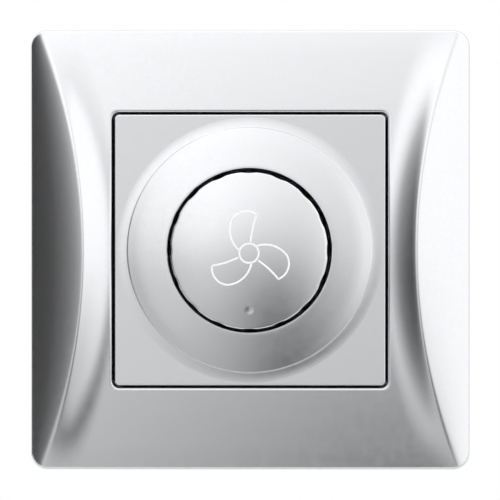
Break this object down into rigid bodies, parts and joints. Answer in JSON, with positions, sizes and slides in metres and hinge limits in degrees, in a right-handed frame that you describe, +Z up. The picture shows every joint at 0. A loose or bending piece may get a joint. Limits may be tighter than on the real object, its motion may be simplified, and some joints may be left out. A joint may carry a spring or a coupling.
{
  "type": "fan speed control switch",
  "caption": "Flush wall fan speed control: square silver cover frame with curved side ridges, centre plate with round collar, fluted turning knob and an insert for a round wall box.",
  "frame": {"origin": "where the knob's axis meets the wall's surface, midway between the box screws", "axes": "+Z up, +X to the right as seen from the room, +Y into the wall"},
  "size_m": [0.082, 0.0446, 0.082],
  "materials": {
    "silver_lacquer": "satin silver lacquer over moulded plastic",
    "print_white": "thin printed lines",
    "zinc_steel": "zinc plated steel",
    "nickel_brass": "nickel plated brass",
    "brass": "bare brass",
    "spring_steel": "spring steel",
    "white_insulator": "white moulded insulator",
    "black_insulator": "black moulded insulator",
    "board_laminate": "paper laminate board",
    "track_laminate": "phenolic track disc",
    "blue_insulator": "blue moulded insulator",
    "aluminium": "mill aluminium",
    "iron_powder": "coated iron powder core",
    "enamelled_copper": "enamelled copper wire",
    "film_case": "yellow capacitor case",
    "diac_glass": "coated glass",
    "resistor_body": "beige resistor coat",
    "clear_glass": "clear tube"
  },
  "bodies": {
    "insert": {"frame": "silver_lacquer", "centre_plate": "silver_lacquer", "plate_nut": "nickel_brass", "bush_nut": "nickel_brass", "bush_washer": "zinc_steel", "support_frame": "zinc_steel", "housing": "white_insulator", "housing_screws": "zinc_steel", "circuit_board": "board_laminate", "potentiometer_bush": "nickel_brass", "potentiometer_case": "zinc_steel", "potentiometer_cover": "black_insulator", "potentiometer_track": "track_laminate", "potentiometer_pins": "nickel_brass", "switch_case": "black_insulator", "switch_contacts": "brass", "trimmer_case": "blue_insulator", "triac": "black_insulator", "heatsink": "aluminium", "heatsink_screw": "zinc_steel", "choke_core": "iron_powder", "choke_winding": "enamelled_copper", "film_capacitor": "film_case", "timing_capacitor": "film_case", "diac": "diac_glass", "resistors": "resistor_body", "fuse_tube": "clear_glass", "fuse_caps": "nickel_brass", "fuse_clips": "brass", "terminal_block": "white_insulator", "terminal_cages": "brass", "terminal_screws": "zinc_steel"},
    "turning_knob": {"knob": "silver_lacquer", "fan_symbol": "print_white", "knob_clip": "spring_steel", "potentiometer_shaft": "white_insulator", "potentiometer_wiper": "black_insulator", "switch_rotor": "white_insulator", "contact_bridge": "brass"},
    "trimmer": {"trimmer_rotor": "white_insulator"}
  },
  "joints": [
    {"name": "knob_turn", "type": "hinge", "parent": "insert", "child": "turning_knob", "pos_m": [0, 0, 0], "axis": [0, 1, 0], "range_deg": [0, 285]},
    {"name": "trimmer_turn", "type": "hinge", "parent": "insert", "child": "trimmer", "pos_m": [0.0144, 0.0024, 0.0092], "axis": [0, 1, 0], "range_deg": [0, 210]}
  ]
}
